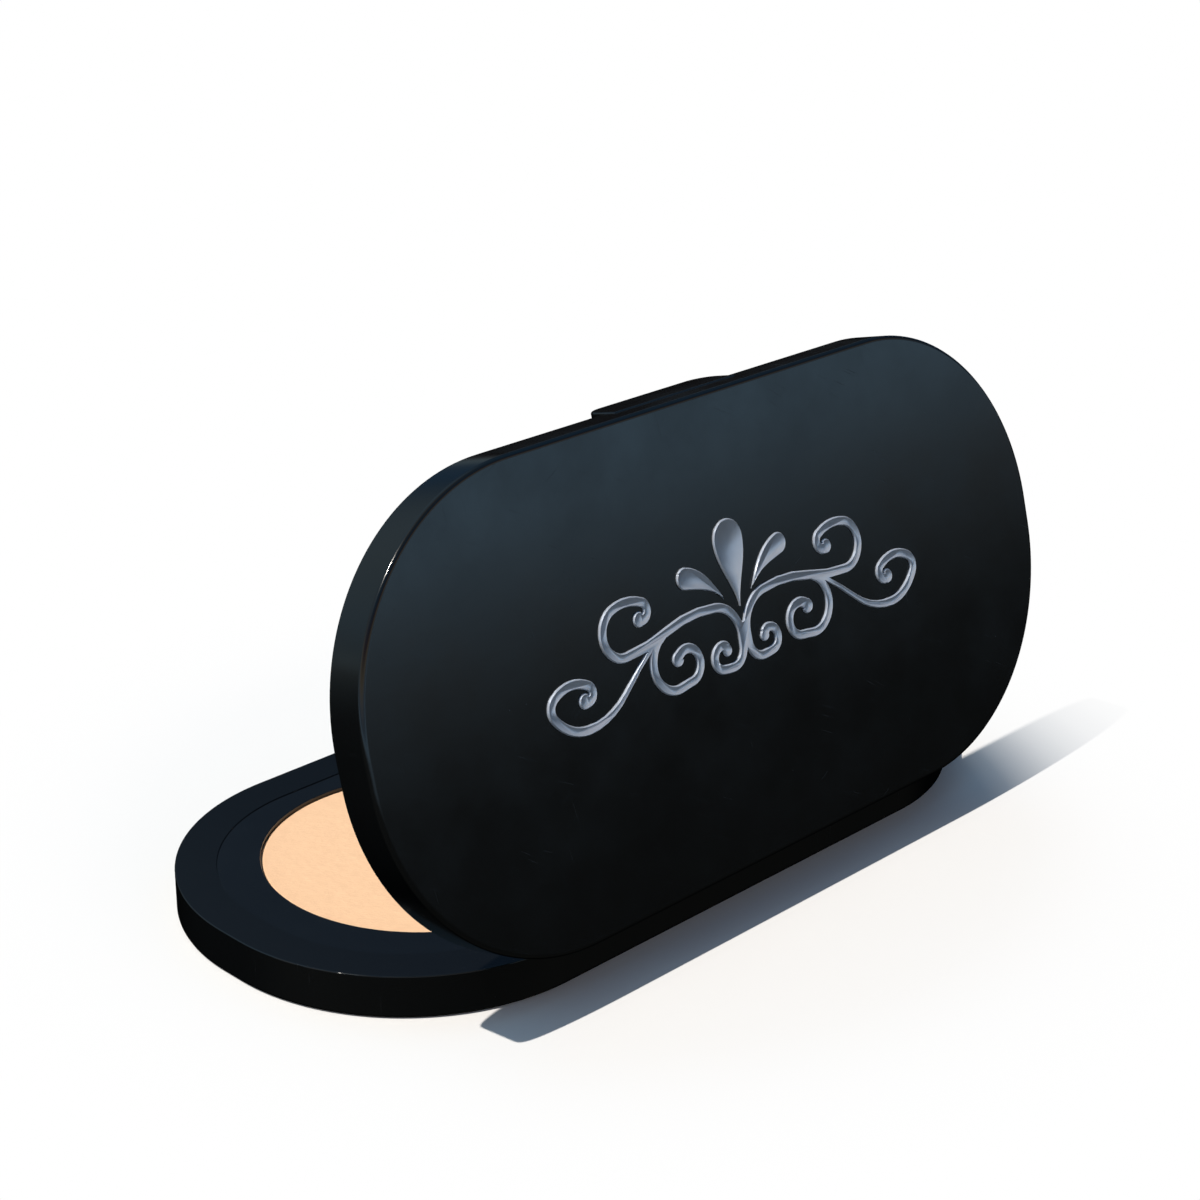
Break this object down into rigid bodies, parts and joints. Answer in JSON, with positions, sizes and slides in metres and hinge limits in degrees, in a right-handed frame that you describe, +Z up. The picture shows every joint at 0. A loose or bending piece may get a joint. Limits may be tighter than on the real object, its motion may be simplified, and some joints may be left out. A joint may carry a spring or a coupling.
{
  "type": "powder compact",
  "caption": "Flat black powder compact with round ends, hinged mirrored lid with a scroll ornament, pressed powder pan and a puff.",
  "frame": {"origin": "centre of the base's underside", "axes": "+X along the case towards the powder, +Y towards the hinge, -Y towards the catch, +Z up out of the base"},
  "size_m": [0.1, 0.0539, 0.0541],
  "materials": {
    "gloss_black": "polished black moulding",
    "satin_black": "satin black moulding",
    "pan_metal": "pressed sheet",
    "pressed_powder": "matte pressed powder",
    "pin_steel": "drawn wire",
    "ornament_silver": "satin silver with bright edges",
    "mirror_glass": "silvered glass",
    "adhesive": "soft adhesive",
    "label_paper": "blank label",
    "puff_cotton": "soft flocked velour",
    "puff_satin": "satin"
  },
  "bodies": {
    "base": {"base_housing": "gloss_black", "bottom_cover": "satin_black", "bottom_label": "label_paper", "inner_tray": "satin_black", "powder_pan": "pan_metal", "pan_adhesive": "adhesive", "powder_cake": "pressed_powder", "hinge_pin_left": "pin_steel", "hinge_pin_right": "pin_steel"},
    "lid": {"lid_shell": "gloss_black", "mirror_frame": "satin_black", "mirror_glass": "mirror_glass", "mirror_adhesive": "adhesive", "scrollwork": "ornament_silver", "drop_centre": "ornament_silver", "drop_left": "ornament_silver", "drop_right": "ornament_silver"},
    "puff": {"puff_pad": "puff_cotton", "puff_back": "puff_satin", "puff_ribbon": "puff_satin"}
  },
  "joints": [
    {"name": "lid_hinge", "type": "hinge", "parent": "base", "child": "lid", "pos_m": [0, 0.02488, 0.00513], "axis": [-1, 0, 0], "range_deg": [-74.9, 45.1]},
    {"name": "puff_lift", "type": "slide", "parent": "base", "child": "puff", "axis": [0, 0, 1], "range_m": [0, 0.02]}
  ]
}
